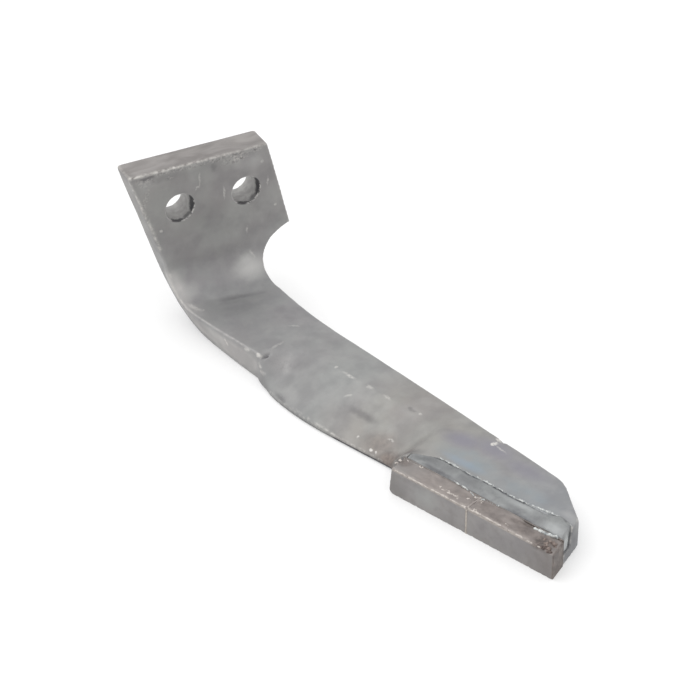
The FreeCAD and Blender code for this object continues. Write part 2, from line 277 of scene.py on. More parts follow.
# Nicks and dents: along the sheared top edge, along the cutting edge, at the shoulder and on the far side.
nicks = [
    ([(-9, -32.4, -54.6), (5, -35.5, -55), (19, -36.9, -55.1)], 6, 0.45),
    ([(-7.6, -92.8, -57.4), (-3.4, -92.2, -56.0)], 1.4, 0.9),
    ([(66.6, -219, -55.2), (68.5, -221, -55.2)], 2.4, 0.8),
    ([(-9.8, -111, -69), (-8.6, -119, -69)], 2.0, 0.5),
    ([(13, -145, -62), (23, -172, -61.5)], 7, 0.35),
    ([(38.6, -173, -55.2), (41, -176, -55.2)], 2.2, 0.35),
]
parts = 26
for part in range(parts):
    x = -48 + 81 * (part + rng.random()) / parts
    nicks.append(([(x, INNER_FACE, SHEARED_END), (x + rng.uniform(0.5, 2.5), INNER_FACE, SHEARED_END)],
                  rng.uniform(1.2, 2.2), rng.uniform(0.1, 0.5)))
parts = 14
for part in range(parts):
    share = (part + rng.random()) / parts
    x, y = -9 + 24 * share, -123 - 72 * share
    nicks.append(([(x, y, -69.5)], rng.uniform(1.5, 2.5), rng.uniform(0.1, 0.45)))
# Below the sheared edge the face is crumbled at both corners.
crumbling = random.Random(7)
for left, right, count in ((-48, -34, 12), (4, 31, 18)):
    for _ in range(count):
        nicks.append(([(crumbling.uniform(left, right), INNER_FACE, crumbling.uniform(21.5, 25.5))],
                      crumbling.uniform(1.2, 1.8), crumbling.uniform(0.15, 0.4)))
strokes(tine, "nicks", nicks)
# Burrs stand up at the shoulder and on the far side.
bumps = [
    ([(-9.0, -90.2, -56.4), (-8.2, -92.0, -57.0)], 2.2, 0.7),
    ([(-10.6, -92.5, -60.2), (-10.8, -95.5, -62.2)], 2.8, 0.9),
    ([(-12.6, -81.0, -56.6), (-11.9, -84.0, -56.6)], 1.8, 0.5),
    ([(21, -118, -55.2), (26.5, -137, -55.3)], 2.6, 0.35),
    ([(29, -145, -55.3), (33, -158, -55.3)], 2.2, 0.3),
]
strokes(tine, "bumps", bumps)
work(tine, "DISPLACE", {"strength": -1.1 * MM, "mid_level": 0.0, "vertex_group": "nicks"})
work(tine, "DISPLACE", {"strength": 0.8 * MM, "mid_level": 0.0, "vertex_group": "bumps"})

# The unevenness that the press leaves in the faces, and small pits in the scale.
free_group(tine)
work(tine, "DISPLACE", {"texture": cloud("press_waves", size=22), "strength": 0.45 * MM, "mid_level": 0.5,
                        "vertex_group": "free"})
work(tine, "DISPLACE", {"texture": cloud("scale_pits", size=3.5), "strength": 0.12 * MM, "mid_level": 0.5,
                        "vertex_group": "free"})

# Where the arrises are rubbed bright; the cutting edge's thin side, painted dark as shade; and the narrow
# left side of the bend and root, painted pale as light falling on it.
strokes(tine, "arris", [
    ([(-49, -16.6, 25.9), (-20, -16.6, 25.9)], 1.4, 1.3),
    ([(-20, -16.6, 25.9), (10, -16.6, 25.9)], 1.2, 1.0),
    ([(10, -16.6, 25.9), (33, -16.6, 25.9)], 1.2, 0.6),
    ([(-49.1, -15.4, 24.9), (-43.3, -16.5, 8.1), (-37.0, -16.7, -9.5), (-32.8, -16.8, -23.6)], 1.5, 1.0),
    ([(-27.9, -17.8, -40.9), (-26.4, -26.8, -52.6), (-25.0, -32.9, -54.7), (-23.6, -40.3, -55.4)], 1.3, 0.8),
    ([(-23.6, -40.3, -55.4), (-21.5, -48.6, -55.3), (-18.2, -60.9, -55.4), (-14.7, -72.6, -55.4),
      (-11.4, -84.4, -55.8), (-10.0, -88.9, -56.0)], 1.0, 0.6),
    ([(-7.0, -127.0, -69.3), (1.7, -159.5, -69.3), (13.0, -190.0, -69.3)], 1.1, 1.0),
])
# Painted shade: the thin side of the cutting edge, down by the floor, is weighed here, to be painted dark in
# the material.
strokes(tine, "cut", [
    ([(-9.9, -92, -71), (-11, -103, -71), (-9, -123, -71), (1.7, -159.5, -71)], 3.6, 0.7),
    ([(1.7, -159.5, -71), (15.2, -195, -71)], 3.6, 2.4),
])
# Painted light: the narrow left side of the bend and root is weighed here, to be painted paler in the
# material.
strokes(tine, "side", [
    ([(-28.5, -18, -45), (-26, -28, -58), (-23.6, -40.3, -63.5), (-18.2, -60.9, -63.8), (-11.4, -84.4, -64)],
     10.5, 1.6),
])

# The bolt holes are punched through clean, so their rims stay sharp and true: the mesh is cut finer there
# and laid back on the CAD model.
circle = [(HOLE_RADIUS * math.sin(math.radians(turn)), HOLE_RADIUS * math.cos(math.radians(turn)))
          for turn in range(0, 361, 15)]
strokes(tine, "rims", [([(x + across, y, up) for across, up in circle], 2.2, 3.0)
                       for x in HOLES for y in (INNER_FACE, OUTER_FACE)])
bpy.ops.object.mode_set(mode="EDIT")
bpy.ops.mesh.select_all(action="DESELECT")
bpy.ops.object.mode_set(mode="OBJECT")
rim_paint = tine.data.attributes["rims_paint"].data
for polygon in tine.data.polygons:
    polygon.select = all(rim_paint[index].value > 0.8 for index in polygon.vertices)
bpy.ops.object.mode_set(mode="EDIT")
bpy.ops.mesh.subdivide(number_cuts=2, smoothness=0)
bpy.ops.mesh.quads_convert_to_tris()
bpy.ops.object.mode_set(mode="OBJECT")
work(tine, "SHRINKWRAP", {"target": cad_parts["forged_tine"], "wrap_method": "NEAREST_SURFACEPOINT",
                          "vertex_group": "rims"})
mark_edges(tine, reach=14)
round_shading(tine)

# Forging scale on boron steel: thin grey iron oxide, darker where it is whole, paler where it rubbed off.
# It reads as matt metal with soft blotches, bright bare steel on the edges and faint scratches.
scale, tree, surface = new_material("forging_scale_on_boron_steel")


def share_of(tree, share, masks):
    """A share times masks. A mask is an output, or an output with the values where it starts and is whole."""
    for mask in masks:
        if isinstance(mask, tuple):
            source, start, whole = mask
            mask = add(tree, "ShaderNodeMapRange", {},
                       {"Value": source, "From Min": start, "From Max": whole}).outputs[0]
        share = add(tree, "ShaderNodeMath", {"operation": "MULTIPLY"}, {0: mask, 1: share}).outputs[0]
    return share


def coats(tree, colour, layers):
    """Lay one colour after another over a colour: (colour, strength, masks).

    A colour Mix has its share at input 0, its two colours at inputs 6 and 7 and its result at output 2.
    """
    for over, strength, *masks in layers:
        colour = add(tree, "ShaderNodeMix", {"data_type": "RGBA"}, {
            0: share_of(tree, strength, masks), 6: colour, 7: over}).outputs[2]
    return colour


def patches(tree, coords, places):
    """The strongest of soft oval patches: (middle, turn in degrees, radii, strength, softness)."""
    strongest = 0.0
    turned = {(0, 0, 0): coords}
    for middle, turn, radii, strength, softness in places:
        angles = Euler([math.radians(angle) for angle in turn])
        if turn not in turned:
            turned[turn] = add(tree, "ShaderNodeMapping", {"vector_type": "TEXTURE"},
                               {"Vector": coords, "Rotation": angles}).outputs[0]
        middle = angles.to_matrix().transposed() @ Vector(middle)
        oval = add(tree, "ShaderNodeVectorMath", {"operation": "MULTIPLY_ADD"}, {
            0: turned[turn], 1: [1 / r for r in radii], 2: [-m / r for m, r in zip(middle, radii)]})
        away = add(tree, "ShaderNodeVectorMath", {"operation": "LENGTH"}, {0: oval.outputs[0]})
        patch = add(tree, "ShaderNodeMapRange", {"interpolation_type": "SMOOTHSTEP"}, {
            "Value": away.outputs["Value"], "From Min": 1.0, "From Max": 1.0 - softness, "To Max": strength})
        strongest = add(tree, "ShaderNodeMath", {"operation": "MAXIMUM"},
                        {0: patch.outputs[0], 1: strongest}).outputs[0]
    return strongest


def ragged(tree, coords, size, amount):
    """The coordinates shaken by noise of this grain, so that what is drawn with them has ragged borders."""
    noise = add(tree, "ShaderNodeTexNoise", {}, {"Vector": coords, "Scale": 1 / size, "Detail": 3.0})
    centred = add(tree, "ShaderNodeVectorMath", {"operation": "SUBTRACT"}, {
        0: noise.outputs["Color"], 1: (0.5, 0.5, 0.5)})
    shift = add(tree, "ShaderNodeVectorMath", {"operation": "SCALE"}, {
        0: centred.outputs[0], "Scale": 2 * amount})
    return add(tree, "ShaderNodeVectorMath", {"operation": "ADD"}, {
        0: coords, 1: shift.outputs[0]}).outputs[0]


where = add(tree, "ShaderNodeTexCoord", {}, {})
here = add(tree, "ShaderNodeMapping", {}, {
    "Vector": where.outputs["Object"], "Scale": (1000, 1000, 1000)}).outputs[0]
shaken = ragged(tree, ragged(tree, here, size=4.0, amount=1.4), size=1.0, amount=0.5)
axes = add(tree, "ShaderNodeSeparateXYZ", {}, {0: here})
along_y, up = axes.outputs["Y"], axes.outputs["Z"]
paint = {name: add(tree, "ShaderNodeAttribute", {"attribute_name": name}, {}).outputs["Fac"]
         for name in ("edge", "arris_paint", "cut_paint", "side_paint", "rims_paint")}
# Blotches, by their size in millimetres, each with how finely it is broken up.
spots = {size: add(tree, "ShaderNodeTexNoise", {}, {
    "Vector": here, "Scale": 1 / size, "Detail": detail}).outputs[0]
         for size, detail in ((28, 2.0), (22, 2.0), (16, 2.0), (12, 3.0), (9, 4.0), (4, 4.0), (3, 4.0),
                              (2.6, 4.0), (2.4, 4.0), (1.7, 4.0), (1.3, 4.0), (0.5, 3.0))}

# Whole, darker scale on the head and bend, rubbed paler along the blade and warmer in the hollow, bluish at
# the tip, and everywhere cloudy.
colour = coats(tree, "#979593", [
    ("#959495", 1.0, (up, -10.0, -56.0)),
    ("#969695", 1.0, (along_y, -55.0, -112.0)),
    ("#989591", 1.0, (along_y, -135.0, -165.0)),
    ("#929598", 1.0, (along_y, -215.0, -275.0)),
    # Painted light: the narrow left side of the bend and root is painted paler, as light falling on it.
    ("#bcb9b7", 1.0, paint["side_paint"]),
    ("#8a8688", 0.30, (spots[28], 0.42, 0.60)),
    ("#9da19e", 0.22, (spots[22], 0.56, 0.40)),
    ("#66656b", 0.18, (spots[12], 0.40, 0.62)),
    ("#b4b3b1", 0.16, (spots[9], 0.48, 0.70)),
])

# The sheared end at the top of the head is paler, with soft torn bands along it.
bands = add(tree, "ShaderNodeMapping", {}, {
    "Vector": here, "Scale": (0.05, 0.13, 0.1), "Rotation": (0, 0, math.radians(14))})
torn = add(tree, "ShaderNodeTexNoise", {}, {
    "Vector": bands.outputs[0], "Scale": 1.0, "Detail": 3.0, "Distortion": 0.8})
end_face = coats(tree, "#827e7c", [
    ("#979391", 1.0, (torn.outputs[0], 0.36, 0.64)),
    ("#a29e9b", 0.8, patches(tree, here, [
        ((-8.0, -6.0, SHEARED_END), (0, 0, 4), (12, 5, 4), 0.5, 0.9),
        ((24.0, -7.0, SHEARED_END), (0, 0, 4), (11, 7, 4), 0.7, 0.9)])),
    ("#827e7c", 0.8, patches(tree, here, [((-37.0, -4.5, SHEARED_END), (0, 0, 4), (9, 6, 4), 0.8, 0.9)])),
])
colour = coats(tree, colour, [(end_face, 1.0, (up, 25.0, 25.7))])

# Down the outer sides of the bolt holes' walls the scale is rubbed off. Near the inner face, at the right,
# lower right and bottom of each hole, the wall is darker.
bores = patches(tree, here, [((x, INNER_FACE / 2, 0.0), (0, 0, 0), (9.3, 60, 9.3), 1.0, 0.06) for x in HOLES])
darker_near_face = patches(tree, ragged(tree, ragged(tree, here, size=3.0, amount=1.6), size=1.0, amount=0.8), [
    oval for x in HOLES for oval in (
        ((x + HOLE_RADIUS, INNER_FACE, 0.8), (0, 0, 0), (6.0, 6.8, 8.6), 1.0, 0.35),
        ((x + 5.0, INNER_FACE, -6.5), (0, 0, 0), (5.0, 5.0, 5.0), 0.7, 0.5),
        ((x - 2.0, INNER_FACE, -HOLE_RADIUS), (0, 0, 0), (6.5, 3.6, 3.0), 0.9, 0.4))])
wall = coats(tree, "#a6a4a3", [("#b7b6b4", 1.0, (spots[3], 0.4, 0.6)), ("#434245", 1.0, darker_near_face)])
colour = coats(tree, colour, [(wall, 1.0, bores)])
# Painted highlight: the lower right of each hole's rim is painted pale in specks, as light on its rounded
# edge.
rim_highlight = patches(tree, here, [
    ((x + 6.5, INNER_FACE, -5.0), (0, 0, 0), (8, 3, 9), 1.0, 0.3) for x in HOLES])

# Paler places, where the scale came off, with painted highlights on the bend and the tip's far side; and
# darker ones, where the scale is thick, with painted shade along the crease below the bend and in the notch
# at the shoulder.
rubbed_and_highlit = patches(tree, shaken, [
    ((19.5, -22.0, -47.0), (0, 0, 0), (15, 11, 11), 0.95, 0.95),
    ((18.5, -19.5, -44.5), (0, 0, 0), (9, 6, 7), 0.85, 0.9),
    ((-18.5, -24.0, -50.5), (0, 0, 0), (9, 8, 7), 0.45, 0.9),
    ((-21.0, -38.0, -55.2), (0, 0, 12), (6, 10, 5), 0.30, 0.9),
    ((-30.0, -17.0, -30.0), (0, 0, 0), (10, 6, 14), 0.15, 0.9),
    ((24.0, -17.0, 17.0), (0, 0, 0), (13, 3, 7), 0.35, 0.9),
    ((-3.0, -17.0, -29.0), (0, 0, 0), (22, 5, 10), 0.14, 0.9),
    ((66.0, -296.0, -58.0), (0, 0, 0), (7, 7, 8), 0.35, 0.9),
    ((-37.0, -17.0, 19.5), (0, 0, 0), (9, 3, 6), 0.22, 0.9),
    ((-4.3, -118.0, -66.6), (0, 0, 10), (6, 12, 6), 0.25, 0.9),
    ((19.0, -171.0, -63.4), (0, 0, 20), (7, 12, 6), 0.15, 0.9),
    ((39.0, -175.0, -55.1), (0, 0, 20), (6, 12, 5), 0.18, 0.9),
    ((66.0, -291.0, -60.0), (0, 0, 30), (5, 13, 9), 0.50, 0.9),
])
bright = patches(tree, shaken, [
    ((-9.2, -90.0, -56.3), (0, 0, 0), (1.7, 2.2, 1.5), 0.75, 0.6),
    ((-10.9, -94.6, -61.0), (0, 0, 0), (2.0, 2.2, 1.2), 0.45, 0.6),
    ((-10.0, -97.0, -63.5), (0, 0, 0), (2.4, 2.6, 1.6), 0.35, 0.6),
    ((-12.4, -82.5, -56.8), (0, 0, 0), (1.6, 3.0, 1.4), 0.5, 0.6),
    ((-17.0, -65.2, -61.0), (-14, 0, 0), (1.8, 0.9, 4.4), 0.9, 0.5),
    ((-21.5, -34.0, -54.8), (0, 0, 30), (2.0, 7.0, 2.0), 0.55, 0.7),
    ((-18.0, -39.0, -57.5), (-20, 0, 0), (2.0, 1.2, 5.0), 0.50, 0.7),
    ((1.0, -99.0, -60.0), (0, 0, 20), (10, 9, 7), 0.15, 0.9),
    ((22.3, -121.1, -55.3), (0, 0, 0), (1.8, 1.6, 1.6), 0.55, 0.6),
    ((24.8, -131.0, -55.4), (0, 0, 15), (1.5, 6.0, 1.8), 0.60, 0.7),
    ((29.5, -146.0, -55.4), (0, 0, 15), (1.6, 3.4, 1.8), 0.45, 0.7),
    ((33.3, -158.0, -55.4), (0, 0, 15), (1.6, 3.6, 1.8), 0.45, 0.7),
    ((18.4, -141.9, -59.3), (0, 0, -30), (3.2, 1.1, 1.7), 0.40, 0.7),
    ((11.9, -180.5, -68.1), (0, 0, 0), (1.3, 1.5, 1.4), 1.0, 0.5),
    ((13.4, -183.5, -68.1), (0, 0, 0), (0.9, 1.1, 1.2), 0.8, 0.5),
    ((10.4, -168.8, -66.8), (0, 0, 0), (0.9, 1.0, 1.2), 0.7, 0.6),
    ((22.4, -182.9, -63.6), (0, 0, 25), (0.7, 3.0, 1.8), 0.5, 0.7),
    ((62.6, -220.4, -55.2), (0, 0, 12), (2.4, 1.8, 1.4), 1.0, 0.4),
    ((66.6, -218.6, -55.6), (0, 0, 12), (1.6, 2.6, 1.4), 0.8, 0.5),
    ((63.4, -226.5, -55.2), (0, 0, 8), (0.9, 6.0, 1.0), 0.45, 0.6),
    ((41.2, -180.0, -55.3), (0, 0, 0), (1.2, 1.6, 1.4), 0.55, 0.6),
    ((-7.7, -17.0, 14.5), (0, 2, 0), (0.8, 1.5, 6.0), 0.40, 0.7),
    ((-9.2, -17.0, 9.6), (0, 50, 0), (0.9, 1.5, 2.8), 0.45, 0.7),
    ((6.7, -17.0, 2.0), (0, 0, 0), (0.8, 1.5, 5.6), 0.50, 0.7),
    ((20.2, -17.0, -25.5), (0, 5, 0), (0.8, 1.5, 3.6), 0.40, 0.7),
    ((-31.7, -17.0, -11.6), (0, 0, 0), (1.4, 1.6, 1.4), 0.6, 0.6),
    ((37.7, -17.0, -14.0), (0, 0, 0), (1.1, 1.6, 1.1), 0.5, 0.6),
    ((33.5, -17.0, 3.0), (0, 8, 0), (1.0, 1.6, 4.0), 0.45, 0.7),
    ((30.2, -17.0, 15.9), (0, 0, 0), (1.2, 1.6, 1.2), 0.4, 0.6),
    ((22.0, -19.0, -41.0), (0, -35, 0), (1.1, 3.0, 4.0), 0.45, 0.7),
    ((3.0, -88.0, -55.2), (0, 0, -72), (1.4, 7.0, 1.6), 0.30, 0.7),
    ((20.0, -75.5, -55.1), (0, 0, 60), (1.2, 4.0, 1.4), 0.30, 0.7),
])
# Thick scale, with painted shade along the crease below the bend and in the notch at the shoulder.
dark = patches(tree, shaken, [
    ((5.0, -34.8, -55.0), (0, 0, -9), (18, 3.2, 4.0), 0.40, 0.9),
    ((2.0, -46.0, -55.2), (0, 0, -9), (20, 12, 6), 0.20, 0.9),
    ((-5.6, -92.5, -56.8), (0, 0, 8), (2.8, 0.8, 1.6), 0.9, 0.5),
    ((0.0, -96.0, -61.0), (0, 0, 0), (12, 8, 8), 0.22, 0.9),
    ((8.0, -104.0, -58.4), (0, 0, 0), (10, 9, 6), 0.28, 0.9),
    ((18.5, -158.0, -61.8), (0, 0, 20), (3.6, 15.0, 4.0), 0.45, 0.9),
    ((-8.8, -114.5, -68.8), (0, 0, 5), (1.8, 8.0, 2.6), 0.40, 0.9),
    ((39.6, -173.9, -55.2), (0, 0, 15), (1.8, 4.0, 1.5), 0.45, 0.7),
    ((47.0, -199.0, -55.2), (0, 0, 60), (2.6, 9.0, 1.5), 0.12, 0.9),
    ((30.0, -95.0, -55.2), (0, 0, 10), (9, 16, 5), 0.14, 0.9),
    ((-38.5, -17.0, 23.6), (0, 0, 0), (6.0, 2.0, 1.5), 0.60, 0.6),
    ((-30.0, -17.0, 21.0), (0, 0, 0), (14, 2.0, 3.5), 0.20, 0.8),
    ((1.0, -17.0, 20.0), (0, 0, 0), (2.6, 2.0, 4.5), 0.30, 0.8),
    ((-2.0, -17.0, -8.0), (0, 0, 0), (16, 3.0, 12), 0.14, 0.9),
])
# The sheared corners of the head are crumbled, with pale and dark specks.
crumbled = patches(tree, shaken, [
    ((15.0, -17.0, 22.3), (0, -4, 0), (12.0, 2.5, 4.6), 0.8, 0.8),
    ((27.0, -17.0, 24.5), (0, 0, 0), (4.0, 2.5, 2.0), 0.8, 0.5),
    ((-8.0, -17.0, 24.6), (0, 0, 0), (44.0, 2.5, 2.6), 0.55, 0.6),
    ((-40.0, -17.0, 21.5), (0, 0, 0), (8.0, 2.5, 5.0), 0.6, 0.8),
    ((-26.0, -17.0, 20.5), (0, 0, 0), (4.0, 2.0, 1.4), 0.5, 0.6),
    ((-41.0, -17.0, 8.0), (0, 21, 0), (2.4, 2.5, 16.0), 0.6, 0.8),
])

# Along the weld the heat tinted the scale blue and violet, and at the start of the tiles flux made it brown.
weld_side = patches(tree, shaken, [
    ((44.0, -226.0, -55.2), (0, 0, 20.5), (13, 26, 8), 0.80, 0.9),
    ((54.0, -262.0, -55.2), (0, 0, 20.5), (10, 30, 8), 0.60, 0.9),
])
violet = patches(tree, shaken, [
    ((50.0, -211.0, -55.2), (0, 0, 30), (10, 18, 6), 0.90, 0.9),
    ((60.0, -225.0, -55.2), (0, 0, 20), (11, 22, 6), 0.80, 0.9),
    ((65.0, -247.0, -55.2), (0, 0, 20), (9, 22, 6), 0.65, 0.9),
])
blue = patches(tree, shaken, [((40.5, -228.0, -55.2), (0, 0, 20), (4.5, 20, 6), 0.50, 0.9)])
flux = patches(tree, shaken, [
    ((17.0, -182.0, -66.5), (0, 0, 20), (13, 18, 10), 0.55, 0.9),
    ((15.5, -192.0, -68.0), (0, 0, 20), (10, 13, 10), 0.90, 0.9),
    ((20.0, -204.0, -62.0), (0, 0, 20), (9, 8, 10), 0.85, 0.9),
])
colour = coats(tree, colour, [
    # Rubbed paler scale, and painted highlights on the bend and on the tip's far side.
    ("#bdbcba", 1.0, rubbed_and_highlit),
    ("#bdb9b5", 1.0, crumbled, (spots[1.3], 0.48, 0.64)),
    ("#6a6666", 1.0, crumbled, (spots[1.7], 0.46, 0.34)),
    (coats(tree, "#8d979d", [("#939698", 1.0, (spots[16], 0.42, 0.58))]), 1.0, weld_side),
    ("#87858f", 1.0, violet),
    ("#8f9ead", 1.0, blue),
    (coats(tree, "#655b57", [("#81766f", 1.0, (spots[4], 0.38, 0.60))]), 1.0, flux),
    ("#d2cfcb", 1.0, bright, (spots[1.3], 0.28, 0.50)),
    # Thick scale, and painted shade in the crease below the bend and the shoulder's notch.
    ("#565457", 1.0, dark),
    # Painted highlight on the lower right of each hole's rim.
    ("#c6c4c1", 0.9, (paint["rims_paint"], 1.9, 2.6), rim_highlight, (spots[1.3], 0.42, 0.56)),
])

# Bare bright steel on the standing edges, darker scale in the hollows beside them.
worn = add(tree, "ShaderNodeMath", {"operation": "MAXIMUM"}, {
    0: share_of(tree, 1.0, [(paint["edge"], 0.20, 0.50), (spots[2.6], 0.34, 0.56)]),
    1: share_of(tree, 1.0, [paint["arris_paint"], (spots[2.4], 0.36, 0.60)])}).outputs[0]
# Soot from the torch lies at both ends of the tiles, with painted shade in the recess at the tiles' inner end
# and by the slot at the tip. The thin side of the cutting edge, down by the floor, is painted dark as shade.
soot_and_shade = patches(tree, shaken, [
    ((14.0, -205.0, -66.0), (0, 0, 20), (7, 8, 10), 0.80, 0.8),
    ((15.5, -206.0, -57.0), (0, 0, 60), (4, 8, 6), 0.55, 0.9),
    ((21.0, -206.5, -56.0), (0, 0, 60), (5, 11, 5), 0.45, 0.95),
    ((61.0, -301.0, -63.0), (0, 0, 35), (11, 3.2, 12), 0.20, 0.5),
])
colour = coats(tree, colour, [
    ("#cfccc7", 0.80, worn),
    ("#5c5b5f", 0.35, (paint["edge"], -0.10, -0.40)),
    # Soot, with painted shade in the recess at the tiles' inner end and by the slot at the tip.
    ("#4b484a", 1.0, soot_and_shade),
    # Painted shade on the cutting edge's thin side, down by the floor.
    ("#4d4c4f", 0.8, paint["cut_paint"], (up, -70.3, -70.9)),
])
tree.links.new(colour, surface.inputs["Base Color"])
surface.inputs["Metallic"].default_value = 0.30
dull = add(tree, "ShaderNodeMapRange", {}, {
    "Value": spots[12], "From Min": 0.40, "From Max": 0.62, "To Min": 0.50, "To Max": 0.62})
roughness = add(tree, "ShaderNodeMath", {"operation": "MULTIPLY_ADD"}, {
    0: worn, 1: -0.12, 2: dull.outputs[0]})
tree.links.new(roughness.outputs[0], surface.inputs["Roughness"])

# The grain of the scale is about 0.1 mm, drawn as 0.5 mm so that it shows, over 3 mm pits.
grain = share_of(tree, 0.25, [(spots[0.5], 0.3, 0.7)])
pits = share_of(tree, 1.0, [(spots[3], 0.3, 0.7)])
relief = add(tree, "ShaderNodeMath", {"operation": "ADD"}, {0: grain, 1: pits})
bump = add(tree, "ShaderNodeBump", {}, {"Height": relief.outputs[0], "Strength": 0.35, "Distance": 0.12 * MM})
tree.links.new(bump.outputs[0], surface.inputs["Normal"])
tine.data.materials.append(scale)


# Two tiles of sintered tungsten carbide, end to end, brazed into a seat along the front of the blade.
# They are hard and brittle, so their edges are crisp with small chips, and the top is stained by flux.

# The row of tiles starts at this place, at the foot of its front, and is turned this far from the X axis.
ROW_START = (5.557, -212.107, -72.2)
ROW_TURN = math.radians(69.5)
TILES = (("carbide_tile_inner", 0, 51.1), ("carbide_tile_outer", 52.3, 107.8))
TILE_TOP = 16.4


def on_row(along, inward, height):
    """A place in the object from its distance along the tiles' front, inward from it and up."""
    c, s = math.cos(ROW_TURN), math.sin(ROW_TURN)
    x, y, z = ROW_START
    return x + c * along + s * inward, y - s * along + c * inward, z + height


def row_coordinates(tree):
    """Coordinates in millimetres along the tiles, inward and up."""
    c, s = math.cos(ROW_TURN), math.sin(ROW_TURN)
    x, y, z = ROW_START
    where = add(tree, "ShaderNodeTexCoord", {}, {})
    return add(tree, "ShaderNodeMapping", {}, {
        "Vector": where.outputs["Object"], "Scale": (1000, 1000, 1000), "Rotation": (0, 0, ROW_TURN),
        "Location": (-(c * x - s * y), -(s * x + c * y), -z)}).outputs[0]


def flux_stain(tree, row, colour, height):
    """Lay the mauve-brown stain that flux and heat left on the top of the tiles over a colour."""
    shaken = ragged(tree, row, size=2.5, amount=0.9)
    axes = add(tree, "ShaderNodeSeparateXYZ", {}, {0: shaken})
    clouds = add(tree, "ShaderNodeTexNoise", {}, {
        "Vector": row, "Scale": 1 / 7, "Detail": 4.0, "Distortion": 0.8})
    specks = add(tree, "ShaderNodeTexNoise", {}, {"Vector": row, "Scale": 1 / 2.2, "Detail": 4.0})
    stain = coats(tree, "#857e7b", [
        ("#968e8a", 1.0, (clouds.outputs[0], 0.36, 0.62)),
        ("#8f8b89", 1.0, (axes.outputs["X"], 22.0, 2.0)),
    ])
    burnt = coats(tree, "#504845", [("#766c67", 1.0, (specks.outputs[0], 0.38, 0.60))])
    return coats(tree, colour, [
        (stain, 1.0, (axes.outputs["Z"], height, height + 0.8)),
        (burnt, 1.0, patches(tree, shaken, [
            ((98.0, 4.0, 16.0), (0, 0, 0), (9, 8, 4), 0.85, 0.7),
            ((80.0, 8.5, 16.0), (0, 0, 6), (15, 3.0, 4), 0.60, 0.8),
            ((86.0, 5.5, 16.0), (0, 0, 4), (12, 5.5, 4), 0.58, 0.8),
            ((83.0, 9.5, 16.0), (0, 0, 0), (6, 3, 4), 0.75, 0.7),
            ((72.0, 2.8, 16.4), (0, 0, 0), (13, 2.0, 2), 0.45, 0.8),
            ((3.0, 8.0, 16.0), (0, 0, 0), (8, 6, 4), 0.75, 0.9),
            ((62.0, 5.0, 16.4), (0, 0, 0), (15, 5, 2), 0.35, 0.9),
            ((44.0, 7.0, 16.4), (0, 0, 8), (16, 3.5, 2), 0.30, 0.9),
            ((57.0, 8.5, 16.4), (0, 0, 4), (15, 3.5, 2), 0.45, 0.9),
        ])),
    ])


# Sintered tungsten carbide, as pressed: a fine-grained mid-grey that reads as matt, slightly cloudy metal,
# neither bright nor rusty, and burnt brown at the oblique end.
carbide, tree, surface = new_material("sintered_tungsten_carbide")
row = row_coordinates(tree)
axes = add(tree, "ShaderNodeSeparateXYZ", {}, {0: row})
spots = {size: add(tree, "ShaderNodeTexNoise", {}, {
    "Vector": row, "Scale": 1 / size, "Detail": detail}).outputs[0]
         for size, detail in ((16, 3.0), (5, 5.0), (4, 4.0), (2.5, 4.0), (2, 4.0), (0.6, 3.0))}
edge = add(tree, "ShaderNodeAttribute", {"attribute_name": "edge"}, {}).outputs["Fac"]
past_end = add(tree, "ShaderNodeVectorMath", {"operation": "DOT_PRODUCT"}, {0: row, 1: (1.0, 0.261, 0.0)})
colour = coats(tree, "#8c8989", [
    ("#969392", 1.0, (spots[16], 0.40, 0.60)),
    ("#77726f", 0.25, (spots[5], 0.5, 0.7)),
    ("#a29e9b", 0.25, (axes.outputs["Z"], 5.0, 0.0)),
    ("#a3a4a2", 1.0, patches(tree, row, [((24.0, 0.0, 8.6), (0, 0, 0), (13, 3, 9), 0.60, 0.9)])),
    ("#7d7a78", 1.0, patches(tree, row, [((3.0, 0.0, 6.0), (0, 0, 0), (13, 3, 12), 0.60, 0.9)])),
    ("#77706c", 0.5, (axes.outputs["X"], 84.0, 104.0)),
])
colour = flux_stain(tree, row, colour, height=14.9)
burnt_end = coats(tree, "#625a57", [("#7c736d", 1.0, (spots[4], 0.40, 0.62))])
colour = coats(tree, colour, [
    (burnt_end, 0.85, (past_end.outputs["Value"], 106.6, 107.4)),
    ("#bdb6ae", 0.5, (edge, 0.12, 0.34), (spots[2], 0.36, 0.56)),
    ("#5b5350", 0.4, (edge, -0.05, -0.25)),
])
tree.links.new(colour, surface.inputs["Base Color"])
surface.inputs["Metallic"].default_value = 0.30
roughness = add(tree, "ShaderNodeMapRange", {}, {
    "Value": spots[5], "From Min": 0.3, "From Max": 0.7, "To Min": 0.45, "To Max": 0.60})
tree.links.new(roughness.outputs[0], surface.inputs["Roughness"])
# The carbide's grain is a few thousandths of a millimetre. It is drawn as 0.6 mm, so that it shows, over
# 2.5 mm pits.
grain = share_of(tree, 0.3, [(spots[0.6], 0.3, 0.7)])
pits = share_of(tree, 1.0, [(spots[2.5], 0.3, 0.7)])
relief = add(tree, "ShaderNodeMath", {"operation": "ADD"}, {0: grain, 1: pits})
bump = add(tree, "ShaderNodeBump", {}, {"Height": relief.outputs[0], "Strength": 0.35, "Distance": 0.10 * MM})
tree.links.new(bump.outputs[0], surface.inputs["Normal"])

